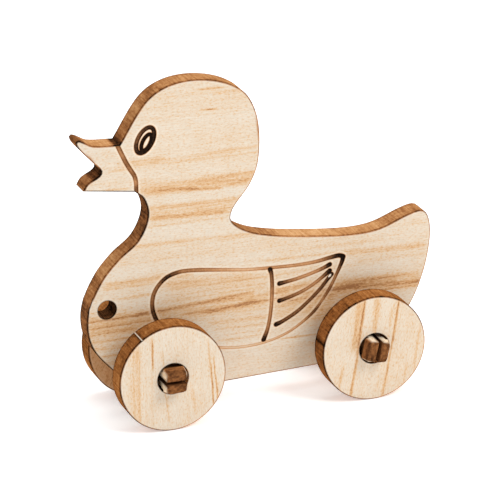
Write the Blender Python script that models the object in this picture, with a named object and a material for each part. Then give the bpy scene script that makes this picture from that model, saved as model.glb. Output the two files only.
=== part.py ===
"""A pull-along duck on four wheels, cut from flat pine board.

Every piece is a flat slab of the same board: one duck outline, four wheels, four spacer
rings and two snap-in axles. +Z is up, the beak points along -X and the axles run along Y.
The origin is on the floor, in the middle of the duck's length and thickness.
"""

import math

import bmesh
import bpy
from mathutils import Matrix, Vector

MM = 0.001

# Driving dimensions, in millimetres.
BOARD = 10.0  # thickness of the board that every piece is cut from
GAP = 0.3  # play between two pieces that touch on the real toy
WHEEL_RADIUS = 24.0
WHEELBASE = 93.0
FRONT_AXLE_X = -46.3
HUB_HOLE_RADIUS = 7.0  # the round holes that the axles turn in
SPACER_RADIUS = 12.0
CORD_HOLE = (-68.5, 51.0)  # the hole in the chest for a pull cord
CORD_HOLE_RADIUS = 4.2

AXLE_LENGTH = 62.0
AXLE_HEIGHT = 8.8  # the shaft is this by BOARD, so that its corners clear the holes
BARB_HEIGHT = 11.2  # wider than the holes, so the prongs are squeezed to go through
BARB_ROUNDING = 0.5
TIP_HEIGHT = 10.0
TIP_ROUNDING = 1.4
SLOT_WIDTH = 1.7
SLOT_DEPTH = 14.0
SLOT_CHAMFER = 0.3
FRONT_AXLE_TURN = 0.0  # degrees about Y: the front slot lies level
REAR_AXLE_TURN = 102.0  # the rear slot stands almost upright

# The underside is a straight edge that rises gently towards the tail.
UNDERSIDE_MIDDLE_Z = 10.1
UNDERSIDE_SLOPE = 0.03

HOLE_SEGMENTS = 48
WHEEL_SEGMENTS = 96
SPACER_SEGMENTS = 64
CURVE_STEP = 1.8  # longest straight piece along a curve of the outline

PALE_PINE = (0.80, 0.62, 0.42)
WHEEL_PINE = (0.76, 0.56, 0.36)
AXLE_PINE = (0.36, 0.19, 0.09)
SPACER_PINE = (0.62, 0.42, 0.24)

# Layers along Y, from the middle of the body outwards.
SPACER_Y = BOARD / 2 + GAP + BOARD / 2
WHEEL_Y = SPACER_Y + BOARD + GAP
WHEEL_OUTER_Y = WHEEL_Y + BOARD / 2


def underside(x):
    """A point on the straight underside, at x."""
    return (x, UNDERSIDE_MIDDLE_Z + UNDERSIDE_SLOPE * x)


# The duck's outline as (x, z) and whether the edge turns a corner there.
SMOOTH, CORNER = False, True
UPPER_BEAK = [
    (-81.1, 127.8, SMOOTH),
    (-80.2, 128.7, SMOOTH),
    (-78.0, 127.9, SMOOTH),
    (-73.5, 125.6, SMOOTH),
    (-61.8, 124.6, CORNER),
]
HEAD = [
    (-51.5, 140.5, SMOOTH),
    (-44.5, 146.3, SMOOTH),
    (-35.0, 149.2, SMOOTH),
    (-23.5, 149.0, SMOOTH),
    (-12.0, 145.5, SMOOTH),
    (-4.0, 139.2, SMOOTH),
    (0.6, 127.0, SMOOTH),
    (0.6, 110.0, SMOOTH),
    (-3.0, 100.0, SMOOTH),
    (-11.3, 88.8, SMOOTH),
    (-11.6, 83.5, SMOOTH),
]
BACK = [
    (-4.0, 78.0, SMOOTH),
    (7.0, 74.7, SMOOTH),
    (22.0, 72.2, SMOOTH),
    (43.5, 70.0, SMOOTH),
    (57.0, 70.8, SMOOTH),
    (72.0, 76.0, SMOOTH),
]
TAIL = [
    (78.0, 76.5, SMOOTH),
    (80.8, 72.2, SMOOTH),
    (81.4, 63.0, SMOOTH),
    (78.6, 48.0, SMOOTH),
    (72.4, 33.2, SMOOTH),
    (62.0, 19.5, SMOOTH),
]
UNDERSIDE = [(*underside(x), SMOOTH) for x in (46.0, 36.0, -34.0, -44.0)]
CHEST = [
    (-56.5, 13.8, SMOOTH),
    (-66.5, 22.8, SMOOTH),
    (-75.6, 35.0, SMOOTH),
    (-77.2, 49.0, SMOOTH),
    (-71.3, 63.3, SMOOTH),
    (-63.3, 72.8, SMOOTH),
    (-54.0, 80.6, SMOOTH),
    (-49.5, 91.0, SMOOTH),
    (-51.3, 99.2, SMOOTH),
]
LOWER_BEAK = [
    (-55.3, 102.8, CORNER),
    (-78.2, 106.0, CORNER),
    (-76.2, 109.0, SMOOTH),
    (-71.0, 112.0, SMOOTH),
    (-70.1, 114.0, SMOOTH),
    (-73.0, 117.4, SMOOTH),
    (-80.0, 125.2, SMOOTH),
]
OUTLINE = UPPER_BEAK + HEAD + BACK + TAIL + UNDERSIDE + CHEST + LOWER_BEAK


def circle(radius, segments, centre=(0.0, 0.0)):
    """Points around a circle."""
    turns = [2 * math.pi * i / segments for i in range(segments)]
    return [Vector((centre[0] + radius * math.cos(t), centre[1] + radius * math.sin(t))) for t in turns]


def closed_curve(nodes):
    """Points along the closed edge through nodes, with Bezier arcs between them.

    A smooth node's handles point along the line between its two neighbours. A corner's
    handles point straight at them, so the edge between two corners is straight.
    """
    places = [Vector(node[:2]) for node in nodes]
    count = len(nodes)
    headings = [(places[(i + 1) % count] - places[i - 1]).normalized() for i in range(count)]
    points = []
    for i in range(count):
        j = (i + 1) % count
        start, end = places[i], places[j]
        third = (end - start) / 3
        start_handle = third if nodes[i][2] else headings[i] * third.length
        end_handle = third if nodes[j][2] else headings[j] * third.length
        straight = nodes[i][2] and nodes[j][2]
        steps = 1 if straight else math.ceil((end - start).length / CURVE_STEP)
        for step in range(steps):
            t = step / steps
            points.append(
                start * (1 - t) ** 3
                + (start + start_handle) * (3 * t * (1 - t) ** 2)
                + (end - end_handle) * (3 * t**2 * (1 - t))
                + end * t**3
            )
    return points


def arc(centre, radius, start, end, steps):
    """Points on an arc between two angles in degrees."""
    angles = [math.radians(start + (end - start) * i / steps) for i in range(steps + 1)]
    return [Vector((centre[0] + radius * math.cos(a), centre[1] + radius * math.sin(a))) for a in angles]


def axle_outline():
    """An axle flat on the board: a straight shaft whose ends are slotted into two barbed prongs."""
    half_length = AXLE_LENGTH / 2
    shaft = AXLE_HEIGHT / 2
    slot = SLOT_WIDTH / 2
    barb_start = WHEEL_OUTER_Y + GAP
    barb_centre = (barb_start + BARB_ROUNDING, BARB_HEIGHT / 2 - BARB_ROUNDING)
    tip_centre = (half_length - TIP_ROUNDING, TIP_HEIGHT / 2 - TIP_ROUNDING)
    upper_prong = [
        Vector((barb_start, shaft)),
        *arc(barb_centre, BARB_ROUNDING, 180, 84, 4),
        *arc(tip_centre, TIP_ROUNDING, 84, 0, 5),
        Vector((half_length, slot + SLOT_CHAMFER)),
        Vector((half_length - SLOT_CHAMFER, slot)),
        *arc((half_length - SLOT_DEPTH + slot, 0.0), slot, 90, 180, 4),
    ]
    lower_prong = [Vector((p.x, -p.y)) for p in reversed(upper_prong[:-1])]
    right_end = upper_prong + lower_prong
    left_end = [Vector((-p.x, -p.y)) for p in right_end]
    return right_end + left_end


def slab_mesh(name, material, outline, holes=()):
    """A closed slab, BOARD thick along Y, with its outline and holes given in X and Z."""
    bm = bmesh.new()
    edges = []
    for loop in (outline, *holes):
        corners = [bm.verts.new((p.x * MM, -BOARD / 2 * MM, p.y * MM)) for p in loop]
        for i, corner in enumerate(corners):
            edges.append(bm.edges.new((corners[i - 1], corner)))
    bmesh.ops.triangle_fill(bm, edges=edges, use_beauty=True, use_dissolve=False)
    raised = bmesh.ops.extrude_face_region(bm, geom=bm.faces[:])
    far_side = [v for v in raised["geom"] if isinstance(v, bmesh.types.BMVert)]
    bmesh.ops.translate(bm, verts=far_side, vec=(0.0, BOARD * MM, 0.0))
    bmesh.ops.recalc_face_normals(bm, faces=bm.faces[:])
    mesh = bpy.data.meshes.new(name)
    bm.to_mesh(mesh)
    bm.free()
    mesh.shade_smooth()
    mesh.set_sharp_from_angle(angle=math.radians(30))
    mesh.materials.append(material)
    return mesh


def wood(name, colour, roughness):
    """A plain wood finish."""
    material = bpy.data.materials.new(name)
    material.use_nodes = True
    shader = material.node_tree.nodes["Principled BSDF"]
    shader.inputs["Base Color"].default_value = (*colour, 1.0)
    shader.inputs["Roughness"].default_value = roughness
    shader.inputs["Metallic"].default_value = 0.0
    return material


def place(name, mesh, location=(0.0, 0.0, 0.0), turn=0.0):
    """An object in the scene, its location in millimetres and its turn about Y in degrees."""
    piece = bpy.data.objects.new(name, mesh)
    piece.location = Vector(location) * MM
    piece.rotation_euler = (0.0, math.radians(turn), 0.0)
    bpy.context.scene.collection.objects.link(piece)
    return piece


def build_body():
    """The duck itself, with a hole for each axle and one for the cord."""
    holes = [
        circle(HUB_HOLE_RADIUS, HOLE_SEGMENTS, (FRONT_AXLE_X, WHEEL_RADIUS)),
        circle(HUB_HOLE_RADIUS, HOLE_SEGMENTS, (FRONT_AXLE_X + WHEELBASE, WHEEL_RADIUS)),
        circle(CORD_HOLE_RADIUS, HOLE_SEGMENTS, CORD_HOLE),
    ]
    pine = wood("body_pine", PALE_PINE, 0.6)
    place("duck_body", slab_mesh("duck_body", pine, closed_curve(OUTLINE), holes))


def build_running_gear(end_name, axle_x, axle_turn, meshes):
    """One axle with its two wheels and two spacer rings."""
    place(f"{end_name}_axle", meshes["axle"], (axle_x, 0.0, WHEEL_RADIUS), axle_turn)
    for side_name, side in (("left", -1), ("right", 1)):
        ring_place = (axle_x, side * SPACER_Y, WHEEL_RADIUS)
        wheel_place = (axle_x, side * WHEEL_Y, WHEEL_RADIUS)
        place(f"{end_name}_{side_name}_spacer", meshes["spacer"], ring_place)
        place(f"{end_name}_{side_name}_wheel", meshes["wheel"], wheel_place)


def main():
    for old in list(bpy.data.objects):
        bpy.data.objects.remove(old, do_unlink=True)

    build_body()

    hub_hole = circle(HUB_HOLE_RADIUS, HOLE_SEGMENTS)
    wheel_pine = wood("wheel_pine", WHEEL_PINE, 0.6)
    spacer_pine = wood("spacer_pine", SPACER_PINE, 0.65)
    axle_pine = wood("axle_pine", AXLE_PINE, 0.7)
    meshes = {
        "wheel": slab_mesh("wheel", wheel_pine, circle(WHEEL_RADIUS, WHEEL_SEGMENTS), [hub_hole]),
        "spacer": slab_mesh("spacer", spacer_pine, circle(SPACER_RADIUS, SPACER_SEGMENTS), [hub_hole]),
        "axle": slab_mesh("axle", axle_pine, axle_outline()),
    }
    meshes["axle"].transform(Matrix.Rotation(math.radians(90), 4, "Z"))
    build_running_gear("front", FRONT_AXLE_X, FRONT_AXLE_TURN, meshes)
    build_running_gear("rear", FRONT_AXLE_X + WHEELBASE, REAR_AXLE_TURN, meshes)


main()
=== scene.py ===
import functools
import math

import bpy
import numpy as np
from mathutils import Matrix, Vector
from mathutils.geometry import delaunay_2d_cdt


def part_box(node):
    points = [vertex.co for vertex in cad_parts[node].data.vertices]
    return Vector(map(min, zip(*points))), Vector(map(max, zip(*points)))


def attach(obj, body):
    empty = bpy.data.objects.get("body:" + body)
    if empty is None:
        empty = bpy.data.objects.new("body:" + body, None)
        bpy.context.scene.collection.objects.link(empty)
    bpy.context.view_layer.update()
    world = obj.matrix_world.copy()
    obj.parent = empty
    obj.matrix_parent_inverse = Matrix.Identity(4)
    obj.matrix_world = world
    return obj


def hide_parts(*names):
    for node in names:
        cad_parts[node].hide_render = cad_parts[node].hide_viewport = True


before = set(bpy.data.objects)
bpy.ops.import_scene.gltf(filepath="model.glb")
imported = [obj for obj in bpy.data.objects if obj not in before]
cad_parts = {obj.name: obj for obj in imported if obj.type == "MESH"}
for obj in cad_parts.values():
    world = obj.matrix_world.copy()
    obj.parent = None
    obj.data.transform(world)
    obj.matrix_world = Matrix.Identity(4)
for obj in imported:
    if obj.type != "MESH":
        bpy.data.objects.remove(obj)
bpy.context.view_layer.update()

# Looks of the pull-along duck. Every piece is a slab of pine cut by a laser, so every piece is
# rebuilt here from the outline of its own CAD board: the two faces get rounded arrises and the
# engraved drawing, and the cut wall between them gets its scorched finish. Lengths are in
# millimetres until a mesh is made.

MM = 0.001
BOARD = (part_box("duck_body")[1].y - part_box("duck_body")[0].y) / MM

# ---------------------------------------------------------------- colours, linear RGB
PALEST = (0.930, 0.830, 0.680)
CHAR = (0.010, 0.005, 0.003)
FACE_COLOURS = [  # by how much resin and late wood there is, and on the body also by painted shade beside the wheels
    (0.00, (0.680, 0.604, 0.508)),
    (0.15, (0.662, 0.548, 0.422)),
    (0.35, (0.642, 0.444, 0.268)),
    (0.55, (0.595, 0.342, 0.156)),
    (0.72, (0.512, 0.262, 0.102)),
    (0.86, (0.425, 0.198, 0.072)),
    (1.00, (0.340, 0.150, 0.054)),
]
WALL_COLOURS = [  # by tone
    (0.00, (0.720, 0.440, 0.222)),
    (0.28, (0.540, 0.272, 0.110)),
    (0.55, (0.325, 0.130, 0.044)),
    (0.80, (0.120, 0.046, 0.017)),
    (1.00, (0.012, 0.006, 0.003)),
]
GROOVE_COLOURS = [  # by darkness of the engraving
    (0.00, (0.800, 0.560, 0.350)),
    (0.30, (0.480, 0.235, 0.100)),
    (0.50, (0.250, 0.103, 0.037)),
    (0.70, (0.110, 0.043, 0.016)),
    (0.85, (0.030, 0.014, 0.007)),
    (1.00, CHAR),
]
FLOOR_WHITE = (0.93, 0.93, 0.93)
FLOOR_WHITER = (0.95, 0.95, 0.95)
FLOOR_GLOW = 0.42  # a light table's, so that the shadow under the toy stays faint

# ---------------------------------------------------------------- the engraved drawing
# Each stroke is a smooth line through (x, z, half width, darkness).
BEAK_LINE = [
    (-63.6, 126.6, 0.85, 0.75),
    (-62.3, 123.4, 0.90, 0.50),
    (-60.6, 119.6, 0.90, 0.43),
    (-58.9, 116.0, 0.90, 0.55),
    (-57.0, 112.7, 0.90, 0.47),
    (-55.4, 109.9, 0.85, 0.54),
    (-54.8, 107.0, 0.85, 0.37),
    (-54.7, 103.8, 0.80, 0.62),
    (-54.6, 100.0, 0.80, 0.80),
]
WING_EDGE = [
    (-44.6, 40.0, 0.75, 0.70),
    (-46.5, 43.6, 0.85, 0.76),
    (-47.8, 47.5, 0.85, 0.72),
    (-48.1, 51.5, 0.85, 0.54),
    (-47.3, 55.4, 0.85, 0.54),
    (-45.2, 58.9, 0.85, 0.56),
    (-41.8, 61.9, 0.85, 0.86),
    (-37.8, 63.4, 0.85, 0.67),
    (-33.0, 63.9, 0.80, 0.44),
    (-25.0, 63.2, 0.80, 0.39),
    (-15.0, 61.8, 0.70, 0.26),
    (-5.0, 60.5, 0.65, 0.18),
    (6.0, 59.8, 0.65, 0.32),
    (18.0, 59.3, 0.70, 0.30),
    (27.0, 59.6, 0.75, 0.34),
    (34.0, 60.6, 0.85, 0.62),
    (38.3, 61.0, 0.95, 1.00),
    (40.2, 60.2, 1.00, 1.00),
]
WING_LOWER_EDGE = [
    (40.2, 60.2, 1.00, 1.00),
    (39.6, 57.8, 0.85, 0.88),
    (37.8, 53.8, 0.70, 0.59),
    (35.6, 49.3, 0.65, 0.40),
    (33.3, 45.2, 0.65, 0.56),
    (30.2, 40.8, 0.55, 0.38),
    (26.6, 36.4, 0.62, 0.66),
    (21.5, 32.4, 0.55, 0.30),
    (15.0, 28.6, 0.50, 0.22),
    (8.0, 26.2, 0.50, 0.15),
    (0.0, 24.9, 0.55, 0.12),
    (-8.0, 24.8, 0.55, 0.10),
    (-17.0, 25.9, 0.55, 0.14),
    (-28.0, 29.0, 0.65, 0.35),
    (-38.0, 34.0, 0.70, 0.50),
    (-44.6, 40.0, 0.75, 0.70),
]
WING_BAR = [
    (6.1, 58.9, 1.00, 0.95),
    (6.7, 56.5, 0.80, 0.65),
    (7.0, 51.5, 0.78, 0.50),
    (6.8, 44.0, 0.75, 0.36),
    (6.0, 36.5, 0.75, 0.44),
    (4.8, 31.0, 0.80, 0.50),
    (3.1, 26.6, 1.00, 0.95),
]
FEATHER_TOP = [
    (10.4, 51.8, 1.00, 0.93),
    (13.0, 52.1, 0.80, 0.66),
    (19.0, 53.0, 0.75, 0.36),
    (26.5, 54.8, 0.75, 0.32),
    (31.0, 56.2, 0.80, 0.55),
    (33.9, 57.4, 1.00, 0.97),
]
FEATHER_MIDDLE = [
    (10.4, 43.8, 1.00, 0.93),
    (13.0, 44.3, 0.80, 0.68),
    (18.5, 45.8, 0.75, 0.48),
    (24.0, 48.0, 0.72, 0.37),
    (29.5, 51.3, 0.75, 0.44),
    (33.9, 54.5, 1.00, 0.97),
]
FEATHER_LOW = [
    (8.9, 32.9, 1.00, 0.97),
    (12.0, 34.0, 0.85, 0.70),
    (18.5, 37.4, 0.80, 0.62),
    (24.5, 42.0, 0.75, 0.62),
    (29.5, 46.6, 0.78, 0.66),
    (32.5, 50.1, 0.82, 0.74),
    (34.8, 52.7, 0.95, 0.85),
]
# The eye is two tilted rings: centre, long and short half axes, the engraving's half width and
# darkness, and how much paler it is on the upper left.
EYE_TILT = 62.0
EYE_RINGS = [
    ((-50.5, 125.4), 6.0, 3.35, 0.88, 0.90, 0.22),
    ((-49.95, 124.4), 3.8, 1.75, 0.80, 1.00, 0.0),
]
# A flake of clean wood at a feather's end: centre, long and short half axes, and tilt.
FEATHER_CHIP = ((34.15, 51.95), 0.75, 0.38, 46.0)
STROKE_STEP = 0.7  # between the points of a stroke

CORD_HOLE = (-68.5, 51.0)
CORD_HOLE_ARRIS = 0.10
CORD_HOLE_REACH = 8.0  # from the hole's middle, well past its edge
# Where the outline's arris is burnt further in: under the beak and behind the head. x, z, reach.
DEEP_BURNS = [
    (-75.5, 120.0, 4.5),
    (-71.0, 105.0, 5.0),
    (-62.0, 103.7, 6.0),
    (0.5, 124.0, 10.0),
]
DEEP_BURN = 0.9  # more of the arris radius at the middle of such a place

# How dark the cut wall is along the duck's outline: (x, z, tone), 0 pale tan, 1 black. Mostly the
# burn's own unevenness; under the chest it is also painted shade.
BODY_WALL_TONES = [
    (-14, 147, 0.40),
    (-28, 149, 0.38),
    (-38, 148, 0.42),
    (-45, 146, 0.52),
    (-55, 137, 0.44),
    (-60, 128, 0.54),
    (-62.4, 124.6, 0.88),
    (-66, 125, 0.29),
    (-74, 125.8, 0.28),
    (-81, 128, 0.74),
    (-78, 123, 0.45),
    (-72, 116, 0.35),
    (-70.1, 114, 0.92),
    (-73, 111.5, 0.80),
    (-75, 110, 0.46),
    (-78, 106, 0.68),
    (-66, 104.4, 0.16),
    (-55, 102.6, 0.78),
    (-50, 96, 0.76),
    (-49.7, 92, 0.78),
    (-51, 85, 0.70),
    (-55, 79.5, 0.56),
    (-66, 69, 0.38),
    (-75, 57, 0.48),
    (-77, 45, 0.66),
    (-74, 33, 0.72),
    # Painted shade, on top of the burn: the wall curving under the chest faces down and is darkened
    # here.
    (-70.5, 26, 0.76),
    (-60, 16, 0.78),
    (0, 10, 0.20),
    (60, 18, 0.30),
    (77, 43, 0.28),
    (81, 65, 0.34),
    (79, 75.5, 0.45),
    (70, 75.5, 0.42),
    (50, 70, 0.31),
    (22, 72, 0.22),
    (-3, 77.5, 0.44),
    (-11.6, 86, 0.55),
    (-3, 100, 0.28),
    (0.6, 118, 0.36),
    (-6, 138, 0.38),
    (-64.3, 51, 0.94),
    (-68.5, 46.8, 0.82),
    (-72.7, 51, 0.85),
    (-68.5, 55.2, 0.9),
]

BODY_SEED = 0.0
BODY_STREAKINESS = 0.6
BODY_GRAIN = -0.4  # degrees
# Streaks of resin and late wood on the body's face, and two wide bands of painted shade beside the
# wheels: from x, z, to x, z, half width, strength.
BODY_STREAKS_AND_SHADE = [
    (-76, 105.5, -57, 104.6, 0.45, 0.34),
    (-27, 144.8, -15, 144.6, 0.40, 0.50),
    (-24, 135.7, -19, 135.4, 0.40, 0.55),
    (-20, 142.3, -4, 142.0, 0.80, 0.20),
    (-45, 139.5, -4, 139.0, 2.60, 0.07),
    (-62, 116.4, -42, 116.0, 1.20, 0.25),
    (-48, 115.4, 0, 115.9, 0.70, 0.17),
    (-66, 113.8, -56, 113.4, 0.50, 0.22),
    (-30, 121.2, -2, 121.0, 1.60, 0.08),
    (-54, 103.6, 2, 103.8, 2.40, 0.30),
    (-20, 104.6, 2, 105.0, 0.60, 0.18),
    (-52, 101.2, -4, 101.0, 1.80, 0.20),
    (-47, 101.8, -28, 101.0, 0.60, 0.34),
    (-32, 100.7, -17, 99.6, 0.55, 0.46),
    (-14, 100.4, -2, 101.6, 0.60, 0.28),
    (-52, 94.6, -6, 93.4, 1.00, 0.30),
    (-48, 89.9, -14, 88.4, 0.80, 0.30),
    (-50, 90.6, -10, 89.8, 2.80, 0.22),
    (-50, 86.2, -14, 85.6, 0.50, 0.20),
    (-56, 78.2, 2, 76.6, 1.00, 0.14),
    (-62, 71.0, -20, 70.6, 0.80, 0.10),
    (-70, 62.2, -30, 62.6, 1.50, 0.32),
    (-70, 60.4, -50, 60.2, 0.60, 0.22),
    (-64, 55.2, -46, 55.4, 0.60, 0.26),
    (-46, 57.8, -4, 56.8, 2.40, 0.12),
    (-48, 59.2, -24, 58.6, 0.90, 0.14),
    (-44, 53.4, 4, 53.0, 0.70, 0.14),
    (2, 63.2, 46, 62.6, 0.80, 0.24),
    (8, 66.6, 60, 65.6, 1.60, 0.12),
    (42, 61.4, 80, 60.2, 1.50, 0.30),
    (46, 57.0, 80, 56.2, 1.20, 0.14),
    (-80, 45.6, 82, 45.0, 5.20, 0.26),
    (-80, 46.6, -50, 46.6, 0.75, 0.46),
    (-56, 46.5, -2, 49.4, 0.90, 0.46),
    (-76, 43.4, -46, 43.2, 0.70, 0.14),
    (-44, 51.0, 4, 51.4, 0.60, 0.16),
    (-34, 44.0, 4, 44.4, 0.70, 0.28),
    (-24, 43.4, -2, 45.2, 0.90, 0.36),
    (-6, 45.0, 12, 44.8, 0.80, 0.38),
    (-20, 47.2, 14, 47.8, 0.60, 0.22),
    (6, 48.6, 32, 49.4, 1.30, 0.38),
    (12, 45.8, 48, 45.6, 0.90, 0.40),
    (10, 42.6, 36, 42.4, 1.20, 0.30),
    (30, 47.6, 66, 46.0, 2.40, 0.30),
    (36, 45.4, 82, 43.8, 0.90, 0.36),
    (40, 48.6, 72, 47.8, 0.60, 0.20),
    (62, 43.6, 82, 43.4, 0.50, 0.34),
    (50, 41.9, 78, 41.7, 0.50, 0.40),
    # Painted shade on the chest, between its edge and the front wheel.
    (-82, 37.0, -50, 37.4, 6.00, 0.14),
    (-80, 40.4, -56, 40.2, 0.90, 0.22),
    (-79, 36.8, -56, 37.0, 0.60, 0.20),
    (-78, 33.6, -58, 33.4, 0.90, 0.22),
    (-76, 29.8, -60, 29.6, 0.60, 0.34),
    (-74, 26.4, -60, 26.4, 1.20, 0.32),
    (-22, 38.0, 6, 37.4, 1.50, 0.22),
    (-20, 34.8, 4, 34.2, 0.60, 0.24),
    (-16, 31.6, 4, 31.4, 0.60, 0.18),
    (8, 37.0, 36, 36.6, 5.00, 0.20),
    # Painted shade on the body beside the rear wheel.
    (24, 36.0, 46, 36.0, 6.50, 0.16),
    (-40, 55.0, 40, 54.6, 3.60, 0.08),
    (-18, 29.2, 4, 28.8, 0.60, 0.20),
    (11, 25.8, 29, 25.3, 0.45, 0.40),
    (4, 21.6, 30, 21.2, 1.20, 0.12),
]


# ---------------------------------------------------------------- flat geometry
class Plane:
    """A board's own axes: u and v lie in its face, and w points out of its front face."""

    def __init__(self, origin, u, w):
        self.origin = Vector(origin)
        self.u = Vector(u).normalized()
        self.w = Vector(w).normalized()
        self.v = self.w.cross(self.u)

    def flat(self, point):
        away = (point - self.origin) / MM
        return away.dot(self.u), away.dot(self.v), away.dot(self.w)

    def world(self, flat):
        axes = np.array([self.u, self.v, self.w])
        return np.array(self.origin) + (flat * MM) @ axes


COPLANAR = 0.01


def face_loops(node, plane):
    """The closed edges of a CAD board's front face. The board lies to the left of each edge."""
    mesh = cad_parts[node].data
    flat = [plane.flat(vertex.co) for vertex in mesh.vertices]
    front = max(point[2] for point in flat)
    onward = {}
    for polygon in mesh.polygons:
        if any(front - flat[i][2] > COPLANAR for i in polygon.vertices):
            continue
        corners = [(round(flat[i][0], 3), round(flat[i][1], 3)) for i in polygon.vertices]
        for here, there in zip(corners, corners[1:] + corners[:1]):
            if onward.get(there) and here in onward[there]:
                onward[there].remove(here)
            else:
                onward.setdefault(here, []).append(there)
    loops = []
    while any(onward.values()):
        start = next(key for key, ends in onward.items() if ends)
        loop, here = [start], onward[start].pop()
        while here != start:
            loop.append(here)
            here = onward[here].pop()
        loops.append(np.array(loop))
    return sorted(loops, key=lambda loop: -np.ptp(loop[:, 0]))


def smooth_path(points):
    """A Catmull-Rom curve through rows of numbers, the first two being a place."""
    points = np.array(points, float)
    padded = np.vstack([2 * points[0] - points[1], points, 2 * points[-1] - points[-2]])
    rows = []
    for a, b, c, d in zip(padded, padded[1:], padded[2:], padded[3:]):
        count = max(1, math.ceil(np.linalg.norm(c[:2] - b[:2]) / STROKE_STEP))
        square = 2 * a - 5 * b + 4 * c - d
        cube = 3 * b - a - 3 * c + d
        for t in np.arange(count) / count:
            rows.append(0.5 * (2 * b + (c - a) * t + square * t**2 + cube * t**3))
    rows.append(points[-1])
    return np.array(rows)


def around(count):
    """Angles spaced evenly around a full turn."""
    return np.arange(count) * 2 * math.pi / count


def ellipse(centre, long_half, short_half, tilt):
    """Points around a tilted ellipse."""
    turn = around(max(12, math.ceil(2 * math.pi * long_half / STROKE_STEP)))
    along, across = long_half * np.cos(turn), short_half * np.sin(turn)
    lean = math.radians(tilt)
    x = centre[0] + along * math.cos(lean) - across * math.sin(lean)
    z = centre[1] + along * math.sin(lean) + across * math.cos(lean)
    return np.column_stack([x, z])


def in_ellipse(points, centre, long_half, short_half, tilt):
    """Distance from the centre as a share of the way to the ellipse."""
    lean = math.radians(tilt)
    away = points - np.array(centre)
    along = away[:, 0] * math.cos(lean) + away[:, 1] * math.sin(lean)
    across = away[:, 1] * math.cos(lean) - away[:, 0] * math.sin(lean)
    return np.hypot(along / long_half, across / short_half)


SHARPEST_MITRE = 0.8  # keeps a very sharp corner from running far out; 4 is a straight line


def sideways(path, distance, closed):
    """The path moved to its left by a distance, which may differ from point to point."""
    if closed:
        before, after = np.roll(path, 1, 0), np.roll(path, -1, 0)
    else:
        before = np.vstack([2 * path[0] - path[1], path[:-1]])
        after = np.vstack([path[1:], 2 * path[-1] - path[-2]])
    lefts = []
    for start, end in ((before, path), (path, after)):
        heading = end - start
        heading = heading / np.maximum(np.linalg.norm(heading, axis=1, keepdims=True), 1e-9)
        lefts.append(np.column_stack([-heading[:, 1], heading[:, 0]]))
    middle = lefts[0] + lefts[1]
    length = np.maximum((middle**2).sum(1, keepdims=True), SHARPEST_MITRE)
    return path + middle * 2 / length * np.reshape(distance, (-1, 1))


def nearest(points, path, closed):
    """Distance from each point to a path, and where along the path: segment and share."""
    start = path if closed else path[:-1]
    end = np.roll(path, -1, 0) if closed else path[1:]
    run = end - start
    away = points[:, None] - start[None]
    share = (away * run).sum(2) / np.maximum((run**2).sum(1), 1e-12)
    share = np.clip(share, 0, 1)
    distance = np.linalg.norm(away - share[..., None] * run, axis=2)
    best = distance.argmin(1)
    rows = np.arange(len(points))
    return distance[rows, best], best, share[rows, best]


def inside(points, loops):
    """True for points on the board: an odd number of loop edges lies to their right."""
    crossings = np.zeros(len(points), int)
    for loop in loops:
        end = np.roll(loop, -1, 0)
        low, high = loop[:, 1], end[:, 1]
        spans = (low > points[:, 1:2]) != (high > points[:, 1:2])
        rise = np.where(high == low, 1.0, high - low)
        at = loop[:, 0] + (points[:, 1:2] - low) / rise * (end[:, 0] - loop[:, 0])
        crossings += (spans & (at > points[:, 0:1])).sum(1)
    return crossings % 2 == 1


# ---------------------------------------------------------------- one board
ARRIS = 0.4  # radius of the long edges
BURNT_SHARE = 1.3  # of the arris radius is burnt like the wall
BURN_FADE = 0.4  # of the arris radius, over which that burn fades out
ARRIS_RINGS = (0.13, 0.3, 0.6, 1.0)  # shares of the arris radius
SCORCH_RINGS = (0.35, 1.1)  # beyond the arris, for the scorch to fade over
STROKE_RINGS = (0.0, 0.4, 0.75, 1.0)  # shares of the stroke's half width
SMOKE_RINGS = (0.15, 0.4, 0.75, 1.25)  # beyond the stroke
CAP_CORNERS = 14  # around a stroke's round end
WALL_LEVELS = (0.04, 0.1, 0.3, 0.5, 0.7, 0.9, 0.96)  # shares of the way down the cut wall
SHARP_ANGLE = 38.0

# The engraving: a beam that dwells longer cuts deeper and darker.
PALE_DEPTH = 0.1925
DARK_DEPTH = 0.605
PALE_CHAR = 0.84  # char for each unit of a faint stroke's darkness
DWELL_CHAR = 0.13  # and how much more for a dark one
EDGE_DARKENING = 0.2  # a groove's sides are darker than its floor
GROOVE_EDGE = 1.001  # in half widths
SMOKE_SHARE = 0.6
LEAST_SMOKE = 0.1
SMOKE_FADE = 0.14  # how fast the smoke beside a groove thins out
HALO_PLACE = 0.65  # beyond the groove, where the face is scraped pale
HALO_WIDTH = 0.4
LEAST_HALO = 0.3
SHALLOW_REACH = 1.2  # a groove grows shallow this near the board's edge
SHALLOWEST = 0.1

WALL_REACH = 2.0  # how far onto the face the wall's tone is worked out
FAR_FROM_EDGE = 5.0  # distances to the edge are cut off here
WALL_CHAR_FADE = 1.2  # how far down the cut wall a groove's char reaches
CHIP_RIM = 1.4  # where a chip's soft rim ends, as a share of its size
# The start nicks of the laser on a rim.
MARK_STRENGTH = 2.2
MARK_REACH = 0.15
MARK_SCORCH_AND_SHADE_REACH = 0.9  # how far beside the nick the rim is darkened: scorch, and painted shade beside the nick
MARK_TONE = 0.22  # and how much darker it is there


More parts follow.
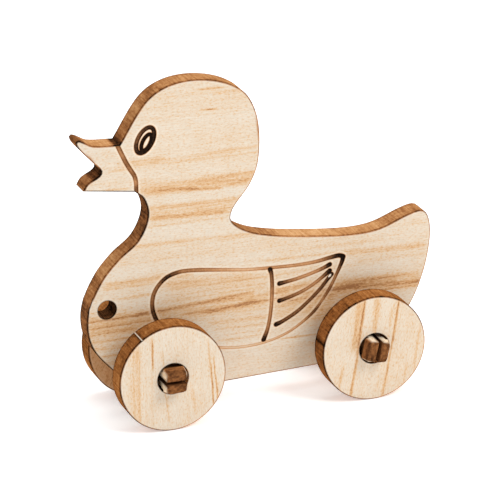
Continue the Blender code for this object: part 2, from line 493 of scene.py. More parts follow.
def stroke_rings(path, closed):
    """Lines along a stroke at which its cross-section changes, and round caps at its ends."""
    place, half = path[:, :2], path[:, 2]
    rings = []
    for share in STROKE_RINGS:
        for side in (1, -1) if share else (1,):
            rings.append((sideways(place, side * share * half, closed), closed))
    for beyond in SMOKE_RINGS:
        for side in (1, -1):
            rings.append((sideways(place, side * (half + beyond), closed), closed))
    if not closed:
        for end in (0, -1):
            widths = [share * half[end] for share in STROKE_RINGS[1:]]
            widths += [half[end] + beyond for beyond in SMOKE_RINGS[:2]]
            turn = around(CAP_CORNERS)
            circle = np.column_stack([np.cos(turn), np.sin(turn)])
            rings += [(place[end] + width * circle, True) for width in widths]
    return rings


def triangulate(loops, rings):
    """Triangles of a flat board whose edges follow its loops and the given rings."""
    places, edges = [], []
    for path, closed in [(loop, True) for loop in loops] + rings:
        first = len(places)
        places.extend(Vector(point) for point in path)
        edges.extend((first + i, first + i + 1) for i in range(len(path) - 1))
        if closed:
            edges.append((first + len(path) - 1, first))
    verts, _, faces, *_ = delaunay_2d_cdt(places, edges, [], 0, 1e-4)
    verts = np.array([vert[:] for vert in verts])
    faces = np.array([face for face in faces if len(face) == 3])
    corners = verts[faces]
    first, second = corners[:, 1] - corners[:, 0], corners[:, 2] - corners[:, 0]
    area = first[:, 0] * second[:, 1] - first[:, 1] * second[:, 0]
    faces = faces[inside(corners.mean(1), loops) & (np.abs(area) > 1e-7)]
    used, faces = np.unique(faces, return_inverse=True)
    return verts[used], faces.reshape(-1, 3)


def rim_edges(faces):
    """Edges with one triangle only, with the board to their left."""
    edges = {}
    for a, b, c in faces.tolist():
        for edge in ((a, b), (b, c), (c, a)):
            if edge[::-1] in edges:
                del edges[edge[::-1]]
            else:
                edges[edge] = True
    return list(edges)


def wall_tone(points, tones):
    """Darkness of the cut wall at points of the outline, blended from the nearest tones."""
    places = np.array(tones, float)
    square = ((points[:, None] - places[None, :, :2]) ** 2).sum(2)
    weight = 1 / (square + 1.0) ** 2
    return (weight * places[:, 2]).sum(1) / weight.sum(1)


def board_rings(loops, radius, strokes, chips):
    """Every line that the triangles of the face have to follow."""
    rings = []
    for loop in loops:
        at_loop = radius(loop)
        for share in ARRIS_RINGS:
            rings.append((sideways(loop, share * at_loop, True), True))
        for beyond in SCORCH_RINGS:
            rings.append((sideways(loop, at_loop + beyond, True), True))
    for path, closed in strokes:
        rings += stroke_rings(path, closed)
    for centre, long_half, short_half, tilt in chips:
        for share in (1.0, CHIP_RIM):
            rings.append((ellipse(centre, share * long_half, share * short_half, tilt), True))
    return rings


def engraving(flat, strokes):
    """How deep, how charred and how scraped pale the strokes make each point of the face."""
    depth = np.zeros(len(flat))
    clear = np.ones(len(flat))
    halo = np.zeros(len(flat))
    for path, closed in strokes:
        distance, segment, share = nearest(flat, path[:, :2], closed)
        after = (segment + 1) % len(path)
        half, dark = ((1 - share) * path[segment, i] + share * path[after, i] for i in (2, 3))
        across = distance / half
        profile = np.clip(1 - across**4, 0, 1)
        depth = np.maximum(depth, (PALE_DEPTH + (DARK_DEPTH - PALE_DEPTH) * dark) * profile)
        in_groove = dark * (PALE_CHAR + DWELL_CHAR * dark)
        in_groove = in_groove + EDGE_DARKENING * np.clip(across, 0, 1) ** 2
        smoke = (SMOKE_SHARE * dark + LEAST_SMOKE) * np.exp(-(distance - half) / SMOKE_FADE)
        clear = clear * (1 - np.clip(np.where(across <= GROOVE_EDGE, in_groove, smoke), 0, 1))
        scraped = np.exp(-(((distance - half - HALO_PLACE) / HALO_WIDTH) ** 2))
        halo = np.maximum(halo, (LEAST_HALO + (1 - LEAST_HALO) * dark) * scraped)
    return depth, 1 - clear, halo


def slab(flat, faces, height):
    """A board's points and polygons: its front, its back and the rows of its cut wall."""
    rim = rim_edges(faces)
    on_rim = np.unique(np.array(rim))
    row = {vertex: i for i, vertex in enumerate(on_rim.tolist())}
    solid = [np.column_stack([flat, height]), np.column_stack([flat, -height])]
    for level in WALL_LEVELS:
        solid.append(np.column_stack([flat[on_rim], height[on_rim] * (1 - 2 * level)]))

    def at_level(level, vertex):
        if level == 0:
            return vertex
        if level > len(WALL_LEVELS):
            return len(flat) + vertex
        return 2 * len(flat) + (level - 1) * len(on_rim) + row[vertex]

    polygons = [tuple(face) for face in faces.tolist()]
    polygons += [tuple(len(flat) + i for i in reversed(face)) for face in faces.tolist()]
    for a, b in rim:
        for level in range(len(WALL_LEVELS) + 1):
            corners = ((level, a), (level + 1, a), (level + 1, b), (level, b))
            polygons.append(tuple(at_level(*corner) for corner in corners))
    return np.vstack(solid), polygons, on_rim


def wall_looks(flat, near_wall, burnt, tones, tone_place, marks, chips):
    """The cut wall's tone, carried a little onto the face, and where clean wood shows."""
    tone = np.zeros(len(flat))
    tone[near_wall] = wall_tone(tone_place(flat[near_wall]), tones)
    pale = np.zeros(len(flat))
    for place, paleness in marks:
        away = np.linalg.norm(flat - np.array(place), axis=1)
        close = np.clip(MARK_STRENGTH * np.exp(-((away / MARK_REACH) ** 2)), 0, 1)
        # Scorch, and painted shade of the nick, on both sides of it.
        tone = tone + MARK_TONE * np.exp(-((away / MARK_SCORCH_AND_SHADE_REACH) ** 2))
        pale = np.maximum(pale, close * max(paleness, 0.0))
        tone = np.maximum(tone, close * max(-paleness, 0.0))
    pale = pale * burnt
    for chip in chips:
        soft = (CHIP_RIM - in_ellipse(flat, *chip)) / (CHIP_RIM - 1)
        pale = np.maximum(pale, np.clip(soft, 0, 1))
    return tone, pale


def board_piece(
    name, node, body, plane, loops, material, tones, grain_angle,
    arris=ARRIS, strokes=(), marks=(), chips=(), tone_place=np.array, burnt_share=BURNT_SHARE,
):
    """A detailed board standing for a CAD node.

    tones are (x, z, tone) places on the wall, looked up at tone_place of a point. grain_angle is
    the grain's, in degrees from the board's u. arris is the radius of its long edges, and
    burnt_share the share of that radius that is burnt like the wall. Either is a number or a
    function of flat points. marks are (place, paleness) spots on the wall, where the laser started
    its cut. chips are ellipses of clean wood in the engraving.
    """
    radius = arris if callable(arris) else lambda points: np.full(len(points), arris)
    flat, faces = triangulate(loops, board_rings(loops, radius, strokes, chips))

    to_edge = np.full(len(flat), np.inf)
    for loop in loops:
        to_edge = np.minimum(to_edge, nearest(flat, loop, True)[0])
    inward = to_edge / radius(flat)
    drop = radius(flat) * (1 - np.sqrt(1 - np.clip(1 - inward, 0, 1) ** 2))
    burnt_share = burnt_share(flat) if callable(burnt_share) else burnt_share
    burnt = np.clip((burnt_share - inward) / BURN_FADE, 0, 1)
    depth, char, halo = engraving(flat, strokes)
    depth = depth * np.clip(to_edge / SHALLOW_REACH, SHALLOWEST, 1)
    solid, polygons, on_rim = slab(flat, faces, BOARD / 2 - drop - depth)
    tone, pale = wall_looks(flat, to_edge < WALL_REACH, burnt, tones, tone_place, marks, chips)

    mesh = bpy.data.meshes.new(name)
    mesh.from_pydata(plane.world(solid).tolist(), [], polygons)
    mesh.validate()
    mesh.shade_smooth()
    mesh.set_sharp_from_angle(angle=math.radians(SHARP_ANGLE))
    mesh.materials.append(material)

    # What the finish needs to know at each point of the faces and of the wall's rows.
    rows = len(WALL_LEVELS)
    from_face = BOARD * np.minimum(WALL_LEVELS, 1 - np.array(WALL_LEVELS))
    looks = {
        "edge_distance": (np.minimum(to_edge, FAR_FROM_EDGE), np.repeat(from_face, len(on_rim))),
        "char": (char, np.outer(np.exp(-from_face / WALL_CHAR_FADE), char[on_rim]).ravel()),
        "halo": (halo, np.zeros(rows * len(on_rim))),
        "tone": (tone, np.tile(tone[on_rim], rows)),
        "pale": (pale, np.tile(pale[on_rim], rows)),
        "wall": (burnt, np.ones(rows * len(on_rim))),
    }
    for key, (on_face, on_wall) in looks.items():
        values = np.concatenate([on_face, on_face, on_wall])
        attribute = mesh.attributes.new(key, "FLOAT", "POINT")
        attribute.data.foreach_set("value", values.astype(np.float32))
    c, s = math.cos(math.radians(grain_angle)), math.sin(math.radians(grain_angle))
    u, v, w = solid.T
    wood_place = np.column_stack([u * c + v * s, v * c - u * s, w])
    for key, place in (("wood_place", wood_place), ("board_place", solid)):
        attribute = mesh.attributes.new(key, "FLOAT_VECTOR", "POINT")
        attribute.data.foreach_set("vector", place.astype(np.float32).ravel())

    piece = bpy.data.objects.new(name, mesh)
    bpy.context.scene.collection.objects.link(piece)
    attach(piece, body)
    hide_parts(node)


# ---------------------------------------------------------------- the finish
class Nodes:
    """Short ways to write a node tree."""

    def __init__(self, name):
        self.material = bpy.data.materials.new(name)
        self.material.use_nodes = True
        self.tree = self.material.node_tree
        self.shader = self.tree.nodes["Principled BSDF"]

    def put(self, kind, inputs, output=0, **settings):
        node = self.tree.nodes.new(kind)
        for key, value in settings.items():
            setattr(node, key, value)
        for key, value in inputs.items():
            self.feed(node.inputs[key], value)
        return node.outputs[output]

    def feed(self, socket, value):
        if isinstance(value, bpy.types.NodeSocket):
            self.tree.links.new(value, socket)
        elif socket.type == "RGBA":
            socket.default_value = (*value, 1.0)
        else:
            socket.default_value = value

    def value(self, name):
        return self.put("ShaderNodeAttribute", {}, output="Fac", attribute_name=name)

    def vector(self, name):
        return self.put("ShaderNodeAttribute", {}, output="Vector", attribute_name=name)

    def math(self, operation, a, b=0.0):
        return self.put("ShaderNodeMath", {0: a, 1: b}, operation=operation)

    def add(self, a, b):
        return self.math("ADD", a, b)

    def less(self, a, b):
        return self.math("SUBTRACT", a, b)

    def times(self, a, b):
        return self.math("MULTIPLY", a, b)

    def bell(self, value):
        """1 where the value is 0, and falling to nothing on both sides."""
        return self.math("EXPONENT", self.times(self.times(value, value), -1.0))

    def noise(self, vector, scales, detail, roughness=0.5, shift=(0.0, 0.0, 0.0)):
        place = self.put("ShaderNodeMapping", {"Vector": vector, "Scale": scales, "Location": shift})
        settings = {"Scale": 1.0, "Detail": detail, "Roughness": roughness}
        return self.put("ShaderNodeTexNoise", {"Vector": place, **settings})

    def span(self, value, low, high, to_low=0.0, to_high=1.0):
        inputs = {0: value, 1: low, 2: high, 3: to_low, 4: to_high}
        return self.put("ShaderNodeMapRange", inputs, interpolation_type="SMOOTHSTEP")

    def mix(self, factor, a, b, blend="MIX"):
        inputs = {0: factor, 6: a, 7: b}
        return self.put("ShaderNodeMix", inputs, output=2, data_type="RGBA", blend_type=blend)

    def ramp(self, factor, stops):
        node = self.tree.nodes.new("ShaderNodeValToRGB")
        self.feed(node.inputs[0], factor)
        elements = node.color_ramp.elements
        while len(elements) < len(stops):
            elements.new(1.0)
        for element, (position, colour) in zip(elements, stops):
            element.position = position
            element.color = (*colour, 1.0)
        return node.outputs[0]


STREAK_FADE = 3.0  # half the length over which a streak's end fades


def streak_sum(n, place, ripple, streaks):
    """How much of the placed streaks there is at a place on the face."""
    total = 0.0
    for u0, v0, u1, v1, half, strength in streaks:
        length = math.hypot(u1 - u0, v1 - v0)
        along = ((u1 - u0) / length, (v1 - v0) / length, 0.0)
        across = (-along[1], along[0], 0.0)
        run, off = (
            n.put("ShaderNodeVectorMath", {0: place, 1: axis}, output="Value", operation="DOT_PRODUCT")
            for axis in (along, across)
        )
        start = u0 * along[0] + v0 * along[1]
        end = start + length
        line = u0 * across[0] + v0 * across[1]
        off = n.times(n.add(n.less(off, line), ripple), 1 / half)
        begun = n.span(run, start - STREAK_FADE, start + STREAK_FADE)
        not_over = n.span(run, end + STREAK_FADE, end - STREAK_FADE)
        total = n.add(total, n.times(n.times(n.bell(off), strength), n.times(begun, not_over)))
    return total


# The wood's patterns: cycles per millimetre along, across and through the grain, then detail,
# roughness, and a shift that keeps two patterns of like scale apart.
PATTERNS = {
    "wander": ((0.018, 0.035, 0.02), 2.0, 0.5),
    "ripple": ((0.09, 0.30, 0.1), 2.0, 0.5),
    "broad": ((0.006, 0.085, 0.05), 3.0, 0.55),
    "lines": ((0.012, 0.85, 0.25), 4.0, 0.62),
    "hair": ((0.07, 2.0, 1.2), 3.0, 0.6),
    "fibre": ((0.20, 5.0, 5.0), 3.0, 0.65),
    "blotch": ((0.10, 0.22, 0.2), 3.0, 0.55, (7.0, 3.0, 1.0)),
    "mottle": ((0.75, 1.45, 1.0), 4.0, 0.72),
    "dashes": ((0.45, 1.9, 1.0), 2.0, 0.5, (3.0, 8.0, 2.0)),
    "long_breaks": ((0.05, 1.5, 0.3), 3.0, 0.6, (1.0, 5.0, 0.0)),
    "speckle": ((0.55, 1.7, 0.8), 3.0, 0.7, (6.0, 6.0, 0.0)),
    "striation": ((0.95, 0.95, 0.05), 4.0, 0.75, (2.0, 9.0, 4.0)),
    "fine_striation": ((4.5, 4.5, 0.12), 2.0, 0.6),
    "cloud": ((0.22, 0.22, 0.20), 3.0, 0.6, (5.0, 1.0, 6.0)),
    "spots": ((0.8, 0.8, 0.6), 4.0, 0.7, (8.0, 2.0, 7.0)),
    "rings": ((0.03, 1.2, 0.6), 3.0, 0.6),
    "grime": ((1.0, 1.0, 0.9), 3.0, 0.7, (4.0, 4.0, 4.0)),
}
GROWN = ("broad", "lines", "hair", "rings", "long_breaks")  # follow the bent growth lines
SEED_SHIFT = 137.0  # millimetres of grain between one piece of wood and the next
WANDER_REACH = 3.2
RIPPLE_REACH = 0.9
# From which value to which a pattern shows, and, for breaks in streaks, as how much.
RANGES = {
    "broad": (0.42, 0.72),
    "lines": (0.48, 0.76),
    "hair": (0.50, 0.74),
    "fibre": (0.3, 0.7),
    "blotch": (0.40, 0.72),
    "mottle": (0.44, 0.74),
    "dashes": (0.68, 0.77),
    "long_breaks": (0.30, 0.70, 0.65, 1.25),
    "speckle": (0.32, 0.66, 0.60, 1.30),
}
# How much each pattern adds to the resin on a face. Streakiness scales the growth's.
GROWTH_WEIGHTS = {"broad": 0.14, "lines": 0.16}
LINES_IN_BROAD = 0.26
FLECK_WEIGHTS = {"blotch": 0.08, "mottle": 0.40, "hair": 0.10, "dashes": 0.34}
FIBRE_STRENGTH = 0.6
FIBRE_DARK = (0.88, 0.86, 0.83)
FIBRE_LIGHT = (1.09, 1.09, 1.09)
# A face gets a painted highlight a little inside its edge, where the arris would catch the light, and
# is scraped paler beside the engraving.
EDGE_HIGHLIGHT_PLACE = 0.75
EDGE_HIGHLIGHT_NARROWNESS = 2.6
EDGE_HIGHLIGHT = 0.12
HALO_GLOW = 0.40
# How much each pattern darkens the cut wall. wall_streaks scales the straight marks.
CUT_WEIGHTS = {"striation": 0.75, "fine_striation": 0.22, "rings": 0.22}
SOOT_WEIGHTS = {"cloud": 0.45, "spots": 0.62}
SOOT_FALL = 2.2  # how fast the soot at an edge thins out
EDGE_SOOT = 0.36
CHAR_RANGE = (0.02, 0.16)  # from which char the engraving's own colours take over
ROUGHNESS = {"face": 0.52, "fibre": 0.16, "wall": 0.14}
SHINE = {"face": 0.20, "char": -0.18, "wall": -0.20}
# Relief in millimetres: raised fibres on the faces, laser ridges on the walls, pits in the char.
RELIEF = {"fibre": 0.020, "striation": 0.09, "fine_striation": 0.04, "grime": 0.12}
LINE_RELIEF = -0.012
WHITE = (1.0, 1.0, 1.0)


def pine(
    name, seed, streaks=(), warmth=0.0, streakiness=1.0, wall_streaks=1.0, edge_soot=EDGE_SOOT,
    wall_tint=WHITE, face_tint=WHITE,
):
    """Laser-cut pine: pale planed faces with growth streaks, and scorched brown cut walls."""
    n = Nodes(name)
    wood = n.vector("wood_place")
    shift = seed * SEED_SHIFT
    place = n.put("ShaderNodeVectorMath", {0: wood, 1: (shift, 0.0, 0.0)}, operation="ADD")
    split = n.put("ShaderNodeSeparateXYZ", {"Vector": wood}).node
    along, across, through = (split.outputs[axis] for axis in "XYZ")

    @functools.cache
    def pattern(key):
        return n.noise(bent if key in GROWN else place, *PATTERNS[key])

    @functools.cache
    def shown(key):
        return n.span(pattern(key), *RANGES[key])

    def swing(key):
        return n.less(pattern(key), 0.5)

    # The grain wanders a little, so every growth line is read at a shifted height.
    ripple = n.times(swing("ripple"), RIPPLE_REACH)
    shifted = n.add(across, n.add(n.times(swing("wander"), WANDER_REACH), ripple))
    bent = {"X": n.add(along, shift), "Y": shifted, "Z": through}
    bent = n.put("ShaderNodeCombineXYZ", bent)

    resin_and_shade = n.times(n.times(shown("lines"), shown("broad")), LINES_IN_BROAD * streakiness)
    for key, weight in GROWTH_WEIGHTS.items():
        resin_and_shade = n.add(resin_and_shade, n.times(shown(key), weight * streakiness))
    for key, weight in FLECK_WEIGHTS.items():
        resin_and_shade = n.add(resin_and_shade, n.times(shown(key), weight))
    # On the body the placed streaks also carry painted shade beside the wheels.
    if streaks:
        placed = streak_sum(n, n.vector("board_place"), ripple, streaks)
        placed = n.times(placed, n.times(shown("long_breaks"), shown("speckle")))
        resin_and_shade = n.add(resin_and_shade, placed)
    face = n.ramp(n.add(resin_and_shade, warmth), FACE_COLOURS)
    face = n.mix(FIBRE_STRENGTH, face, n.mix(shown("fibre"), FIBRE_DARK, FIBRE_LIGHT), "MULTIPLY")
    # face_tint is a wheel's own tint, or painted light on the axles' prongs.
    face = n.mix(1.0, face, face_tint, "MULTIPLY")
    edge_distance = n.value("edge_distance")
    # Painted highlight just inside the arris, and the scraped halo beside the engraving.
    painted_highlight_and_halo = n.bell(n.times(n.less(edge_distance, EDGE_HIGHLIGHT_PLACE), EDGE_HIGHLIGHT_NARROWNESS))
    painted_highlight_and_halo = n.math("MAXIMUM", n.times(painted_highlight_and_halo, EDGE_HIGHLIGHT), n.times(n.value("halo"), HALO_GLOW))
    face = n.mix(painted_highlight_and_halo, face, PALEST)

    # The cut wall: striations run straight through the board, growth lines show faintly.
    dark = n.value("tone")
    for key, weight in CUT_WEIGHTS.items():
        dark = n.add(dark, n.times(swing(key), weight * wall_streaks))
    for key, weight in SOOT_WEIGHTS.items():
        dark = n.add(dark, n.times(swing(key), weight))
    soot = n.math("EXPONENT", n.times(edge_distance, -SOOT_FALL))
    dark = n.add(dark, n.times(soot, edge_soot))
    wall = n.mix(1.0, n.ramp(dark, WALL_COLOURS), wall_tint, "MULTIPLY")
    on_wall = n.value("wall")
    colour = n.mix(on_wall, face, wall)

    # Engraved lines: tan smoke, brown groove, black where the beam dwelt.
    char = n.value("char")
    uneven = n.add(char, n.times(swing("grime"), char))
    charred = n.ramp(uneven, GROOVE_COLOURS)
    colour = n.mix(n.span(char, *CHAR_RANGE), colour, charred, "DARKEN")
    colour = n.mix(n.value("pale"), colour, PALEST)
    n.feed(n.shader.inputs["Base Color"], colour)

    rough = n.add(ROUGHNESS["face"], n.times(pattern("fibre"), ROUGHNESS["fibre"]))
    rough = n.add(rough, n.times(on_wall, ROUGHNESS["wall"]))
    n.feed(n.shader.inputs["Roughness"], rough)
    dull = n.add(n.times(char, SHINE["char"]), n.times(on_wall, SHINE["wall"]))
    n.feed(n.shader.inputs["Specular IOR Level"], n.math("MAXIMUM", n.add(SHINE["face"], dull), 0.0))

    raised = {key: n.times(pattern(key), height) for key, height in RELIEF.items()}
    on_face = n.add(raised["fibre"], n.times(shown("lines"), LINE_RELIEF))
    ridges = n.add(raised["striation"], raised["fine_striation"])
    relief = n.put("ShaderNodeMix", {0: on_wall, 2: on_face, 3: ridges}, data_type="FLOAT")
    relief = n.times(n.add(relief, n.times(raised["grime"], char)), MM)
    bump = n.put("ShaderNodeBump", {"Height": relief, "Distance": 1.0, "Strength": 1.0})
    n.feed(n.shader.inputs["Normal"], bump)
    return n.material


# ---------------------------------------------------------------- the pieces
def centre_of(node):
    low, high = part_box(node)
    return (low + high) / 2


def upright(origin):
    """The plane of a board that stands along the toy, its front on the photographed side."""
    return Plane(origin, (1, 0, 0), (0, -1, 0))


def body_strokes():
    """Every engraved line of the duck as (path, closed)."""
    lines = (BEAK_LINE, WING_EDGE, WING_LOWER_EDGE, WING_BAR)
    lines += (FEATHER_TOP, FEATHER_MIDDLE, FEATHER_LOW)
    strokes = [(smooth_path(line), False) for line in lines]
    for centre, long_half, short_half, half_width, darkness, fading in EYE_RINGS:
        ring = ellipse(centre, long_half, short_half, EYE_TILT)
        upper_left = np.clip(np.sin(around(len(ring))), 0, 1) ** 2
        shades = darkness - fading * upper_left
        strokes.append((np.column_stack([ring, np.full(len(ring), half_width), shades]), True))
    return strokes


def body_arris(points):
    """The cord hole's arris is sharper than the outline's."""
    from_hole = np.linalg.norm(points - np.array(CORD_HOLE), axis=1)
    return np.where(from_hole < CORD_HOLE_REACH, CORD_HOLE_ARRIS, ARRIS)


def body_burn(points):
    """The outline is burnt further in at a few places."""
    share = np.full(len(points), BURNT_SHARE)
    for x, z, reach in DEEP_BURNS:
        close = np.exp(-(((points - np.array((x, z))) ** 2).sum(1)) / reach**2)
        share = np.maximum(share, BURNT_SHARE + DEEP_BURN * close)
    return share


def add_body():
    plane = upright((0, 0, 0))
    material = pine("body_pine", BODY_SEED, BODY_STREAKS_AND_SHADE, streakiness=BODY_STREAKINESS)
    board_piece(
        "engraved_duck_body", "duck_body", "duck", plane, face_loops("duck_body", plane), material,
        BODY_WALL_TONES, BODY_GRAIN, arris=body_arris, strokes=body_strokes(),
        chips=[FEATHER_CHIP], burnt_share=body_burn,
    )


def on_circle(radius, angle):
    """A flat point on a circle, at an angle in degrees."""
    return radius * math.cos(math.radians(angle)), radius * math.sin(math.radians(angle))


NICK_WIDTH = 0.17  # half its width
NICK_DEPTH = 0.10
# The nick's outline: shares of its half width to each side, and of its depth.
NICK_SHAPE = (
    (-3, 0), (-2, 0), (-1, 0), (-0.5, 0.8), (0, 1), (0.5, 0.8), (1, 0), (2, 0), (3, 0)
)
NICK_CLEARANCE = 3.2  # half widths around it that it replaces


def notched(loop, angle):
    """A round outline with the small nick that the laser's first touch leaves."""
    radius = np.linalg.norm(loop, axis=1).max()
    turn = np.degrees(np.arctan2(loop[:, 1], loop[:, 0]))
    off = (turn - angle + 180) % 360 - 180
    reach = math.degrees(NICK_WIDTH / radius)
    clear = np.abs(off) > NICK_CLEARANCE * reach
    order = np.argsort(off[clear])
    kept, off = loop[clear][order], off[clear][order]
    nick = [on_circle(radius - cut * NICK_DEPTH, angle + share * reach) for share, cut in NICK_SHAPE]
    return np.vstack([kept[off < 0], nick, kept[off > 0]])


WHEEL_SEEDS = {"front_left": 1.0, "front_right": 2.0, "rear_left": 3.0, "rear_right": 4.0}
WHEEL_GRAINS = {"front_left": 91.0, "front_right": 62.0, "rear_left": 79.0, "rear_right": 97.0}
WHEEL_WARMTHS = {"front_left": 0.0, "front_right": 0.46, "rear_left": 0.03, "rear_right": 0.2}
WHEEL_STREAKINESS = 0.45
WHEEL_TINTS = {"front_right": (0.96, 0.92, 0.92)}
RIM_TINT = (0.98, 0.90, 0.72)
# Where the laser started its cut: angle on the rim, and how pale (or, below 0, dark) the nick is.
WHEEL_MARKS = {
    "front_left": (125.0, 0.9),
    "front_right": (160.0, -0.9),
    "rear_left": (169.0, -0.95),
    "rear_right": (262.0, -0.9),
}
# Darkness around each rim, as (angle in degrees, tone).
RIM_TONES = {
    "front_left": [
        (60, 0.50), (90, 0.50), (105, 0.50), (118, 0.58), (132, 0.60), (150, 0.54),
        (180, 0.57), (210, 0.64), (240, 0.54), (300, 0.25), (345, 0.30),
    ],
    "front_right": [(60, 0.50), (120, 0.55), (150, 0.62), (180, 0.66), (210, 0.50), (300, 0.50)],
    "rear_left": [
        (60, 0.54), (90, 0.54), (120, 0.60), (150, 0.61), (180, 0.66), (210, 0.64),
        (240, 0.50), (300, 0.25), (345, 0.30),
    ],
    "rear_right": [(0, 0.50), (90, 0.55), (180, 0.60), (270, 0.50)],
}
# The same around every wheel's hub hole, at a radius just outside it: the char, with painted shade
# added on the upper left, in the gap round the axle, and lighter towards the right as a painted glint.
HUB_TONE_RADIUS = 7.4
HUB_TONES = [(0, 0.45), (55, 0.75), (110, 0.97), (150, 0.97), (190, 0.95), (240, 0.80), (300, 0.50)]
HUB_REACH = 15.0  # from the wheel's middle, well past the hub hole's edge
HUB_ARRIS = 0.12
# Streaks on the near wheels, from the wheel's own centre, in the same form as the body's.
WHEEL_STREAKS = {
    "front_left": [
        (-17.5, 20, -17.0, -20, 2.60, 0.20),
        (-15.6, 16, -15.3, -18, 0.80, 0.16),
        (-9.3, 19, -9.0, 6, 0.40, 0.62),
        (-4.6, 13, -4.2, 6, 0.45, 0.26),
        (-3.2, -7, -2.0, -20, 0.55, 0.28),
        (15.8, 15, 17.2, 2, 0.50, 0.24),
        (17.0, 3, 18.4, -15, 0.40, 0.66),
        (18.2, 8, 20.2, -12, 0.38, 0.58),
        (8.5, -6, 10.5, -18, 0.80, 0.16),
    ],
    "rear_left": [
        (-4.6, 24, -7.6, 1, 0.60, 0.64),
        (-7.4, 2, -11.0, -22, 0.60, 0.64),
        (-6.6, 24, -9.8, 0, 1.90, 0.36),
        (1.4, 24, -0.4, 6, 1.20, 0.30),
        (11.4, 22, 8.6, 2, 0.50, 0.52),
        (8.7, 3, 4.0, -24, 0.50, 0.46),
        (7.8, 17, 6.9, 9, 0.50, 0.24),
        (15.5, -10, 13.2, -22, 0.60, 0.26),
        (21.5, 8, 19.0, -14, 0.60, 0.24),
        (-14.0, -6, -16.4, -17, 0.80, 0.20),
    ],
}


# The far wheels' faces are hidden in the photograph: each repeats the other end's near wheel.
STREAKS_LIKE = {
    "front_left": "front_left",
    "front_right": "rear_left",
    "rear_left": "rear_left",
    "rear_right": "front_left",
}


def wheel_arris(points):
    """The hub hole's arris is sharper than the rim's."""
    return np.where(np.linalg.norm(points, axis=1) < HUB_REACH, HUB_ARRIS, ARRIS)


def add_wheels():
    for where, seed in WHEEL_SEEDS.items():
        node = f"{where}_wheel"
        mark_angle, paleness = WHEEL_MARKS[where]
        plane = upright(centre_of(node))
        loops = face_loops(node, plane)
        loops[0] = notched(loops[0], mark_angle)
        radius = np.linalg.norm(loops[0], axis=1).max()
        tones = [(*on_circle(radius, at), tone) for at, tone in RIM_TONES[where]]
        tones += [(*on_circle(HUB_TONE_RADIUS, at), tone) for at, tone in HUB_TONES]
        material = pine(
            f"wheel_pine_{seed:.0f}", seed, WHEEL_STREAKS[STREAKS_LIKE[where]],
            warmth=WHEEL_WARMTHS[where], streakiness=WHEEL_STREAKINESS,
            wall_tint=RIM_TINT, face_tint=WHEEL_TINTS.get(where, WHITE),
        )
        board_piece(
            f"cut_{node}", node, node, plane, loops, material, tones, WHEEL_GRAINS[where],
            arris=wheel_arris, marks=[(on_circle(radius, mark_angle), paleness)],
        )


SPACER_TONES = [(0, 0, 0.92), (12, 0, 0.58), (-12, 0, 0.62), (0, 12, 0.55), (0, -12, 0.6)]
SPACER_SEED = 5.0
SPACER_WARMTH = 0.1
SPACER_GRAIN = 35.0


def add_spacers():
    material = pine("spacer_pine", SPACER_SEED, warmth=SPACER_WARMTH)
    for where in WHEEL_SEEDS:
        node = f"{where}_spacer"
        plane = upright(centre_of(node))
        board_piece(
            f"cut_{node}", node, node, plane, face_loops(node, plane), material,
            SPACER_TONES, SPACER_GRAIN,
        )


# Darkness of an axle's wall at distances from its middle: along its length, and across it. The end
# faces are darker than the long walls, painted shade for ends that face sideways, away from the light
# from above.
AXLE_TONES = [
    (31.0, 2.5, 0.70),
    (31.0, 3.6, 0.74),
    (30.2, 4.9, 0.80),
    (28.0, 5.2, 0.50),
    (25.5, 5.6, 0.56),
    (22.0, 4.4, 0.66),
    (0.0, 4.4, 0.66),
    (31.0, 0.9, 0.78),
    (27.0, 0.85, 0.98),
    (20.0, 0.85, 0.98),
]
AXLE_SEEDS = {"front": 6.0, "rear": 7.0}
AXLE_LEANS = {"front": 90.0, "rear": 12.0}  # degrees that the face is turned from up to the tail
AXLE_GRAIN = 0.0
AXLE_STREAKS = 0.35
AXLE_SOOT = 0.06
AXLE_BURNT_SHARE = 0.6
# Painted light: the prongs' faces are made brighter than the wood itself, to look strongly lit though
# the hub shades them.
PRONG_PAINTED_LIGHT = (1.24, 1.24, 1.18)
SHAFT_ARRIS = 0.35
TIP_ARRIS = 2.1  # the prongs are rounded towards their ends
TIP_START = 8.0  # before the end
TIP_GROWTH = 6.0  # the length over which the arris grows to that
SLOT_HALF = 1.6  # from the axle's middle line, a little wider than the slot
SLOT_FADE = 0.5
SLOT_SHARPNESS = 0.6  # the share by which the slot's arrises are sharper


def axle_arris(half_length, points):
    """Wider towards the tips, and sharper in the slot between the prongs."""
    near_tip = np.clip((np.abs(points[:, 0]) - half_length + TIP_START) / TIP_GROWTH, 0, 1)
    in_slot = np.clip((SLOT_HALF - np.abs(points[:, 1])) / SLOT_FADE, 0, 1)
    wide = SHAFT_ARRIS + (TIP_ARRIS - SHAFT_ARRIS) * near_tip**2 * (3 - 2 * near_tip)
    return wide * (1 - SLOT_SHARPNESS * in_slot)


def add_axles():
    for index, (end, lean) in enumerate(AXLE_LEANS.items()):
        node = f"{end}_axle"
        lean = math.radians(lean)
        plane = Plane(centre_of(node), (0, 1, 0), (math.sin(lean), 0, math.cos(lean)))
        loops = face_loops(node, plane)
        material = pine(
            f"axle_pine_{index + 1}", AXLE_SEEDS[end], wall_streaks=AXLE_STREAKS,
            edge_soot=AXLE_SOOT, face_tint=PRONG_PAINTED_LIGHT,
        )
        board_piece(
            f"snap_{node}", node, node, plane, loops, material, AXLE_TONES, AXLE_GRAIN,
            arris=functools.partial(axle_arris, loops[0][:, 0].max()), tone_place=np.abs,
            burnt_share=AXLE_BURNT_SHARE,
        )


# ---------------------------------------------------------------- floor, light and camera
# From here on lengths are in metres.
FLOOR_REACH = 30.0  # so that a low camera doesn't see past its far edge
FLOOR_SPECKLE = (40.0, 40.0, 40.0)
FLOOR_SPECKLE_DETAIL = 3.0
FLOOR_ROUGHNESS = 0.9


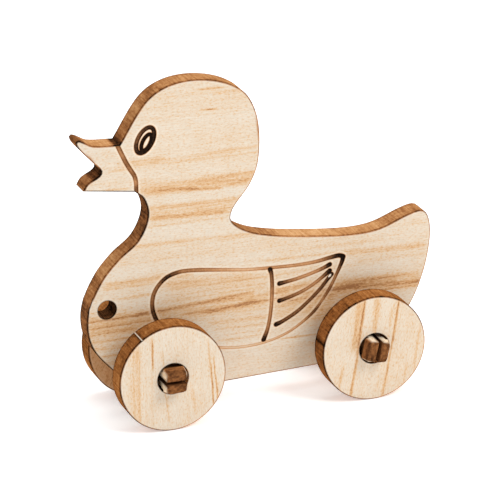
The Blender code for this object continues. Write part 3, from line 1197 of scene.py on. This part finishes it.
def add_floor():
    mesh = bpy.data.meshes.new("floor")
    r = FLOOR_REACH
    mesh.from_pydata([(-r, -r, 0), (r, -r, 0), (r, r, 0), (-r, r, 0)], [], [(0, 1, 2, 3)])
    n = Nodes("floor_paper")
    place = n.put("ShaderNodeTexCoord", {}, output="Object")
    speckle = n.noise(place, FLOOR_SPECKLE, FLOOR_SPECKLE_DETAIL)
    n.feed(n.shader.inputs["Base Color"], n.mix(speckle, FLOOR_WHITE, FLOOR_WHITER))
    n.feed(n.shader.inputs["Roughness"], FLOOR_ROUGHNESS)
    n.feed(n.shader.inputs["Emission Color"], WHITE)
    n.feed(n.shader.inputs["Emission Strength"], FLOOR_GLOW)
    n.feed(n.shader.inputs["Specular IOR Level"], 0.0)
    mesh.materials.append(n.material)
    floor = bpy.data.objects.new("floor", mesh)
    bpy.context.scene.collection.objects.link(floor)


def aim(thing, place, target):
    thing.location = place
    thing.rotation_mode = "QUATERNION"
    thing.rotation_quaternion = (Vector(target) - Vector(place)).to_track_quat("-Z", "Y")


WORLD_STRENGTH = 0.50
LIGHT_TARGET = (0.0, 0.0, 0.06)
SOFTBOXES = [  # name, place, diameter, power in watts
    ("key_softbox", (0.55, -0.75, 0.95), 0.6, 8.8),
    ("top_softbox", (0.0, 0.15, 1.3), 0.9, 5.2),
    ("rear_fill", (-0.45, 0.85, 0.75), 0.7, 3.4),
]


def add_lights():
    world = bpy.data.worlds.new("studio")
    world.use_nodes = True
    world.node_tree.nodes["Background"].inputs["Color"].default_value = (*WHITE, 1.0)
    world.node_tree.nodes["Background"].inputs["Strength"].default_value = WORLD_STRENGTH
    bpy.context.scene.world = world
    for name, place, size, power in SOFTBOXES:
        lamp = bpy.data.lights.new(name, "AREA")
        lamp.shape = "DISK"
        lamp.size = size
        lamp.energy = power
        light = bpy.data.objects.new(name, lamp)
        bpy.context.scene.collection.objects.link(light)
        aim(light, place, LIGHT_TARGET)


# The camera that took the photograph, solved from the wheels' rims. Angles are in degrees.
CAMERA_TARGET = (-0.0013, 0.0001, 0.0672)
CAMERA_AZIMUTH = -21.11
CAMERA_ELEVATION = 21.24
CAMERA_DISTANCE = 1.555
CAMERA_LENS = 259.2
SENSOR_WIDTH = 36.0


def add_camera():
    camera = bpy.data.objects.new("camera", bpy.data.cameras.new("camera"))
    bpy.context.scene.collection.objects.link(camera)
    camera.data.lens = CAMERA_LENS
    camera.data.sensor_width = SENSOR_WIDTH
    a, e = math.radians(CAMERA_AZIMUTH), math.radians(CAMERA_ELEVATION)
    back = Vector((math.sin(a) * math.cos(e), -math.cos(a) * math.cos(e), math.sin(e)))
    aim(camera, Vector(CAMERA_TARGET) + back * CAMERA_DISTANCE, CAMERA_TARGET)
    bpy.context.scene.camera = camera


add_body()
add_wheels()
add_spacers()
add_axles()
add_floor()
add_lights()
add_camera()
bpy.context.scene.view_settings.view_transform = "Standard"
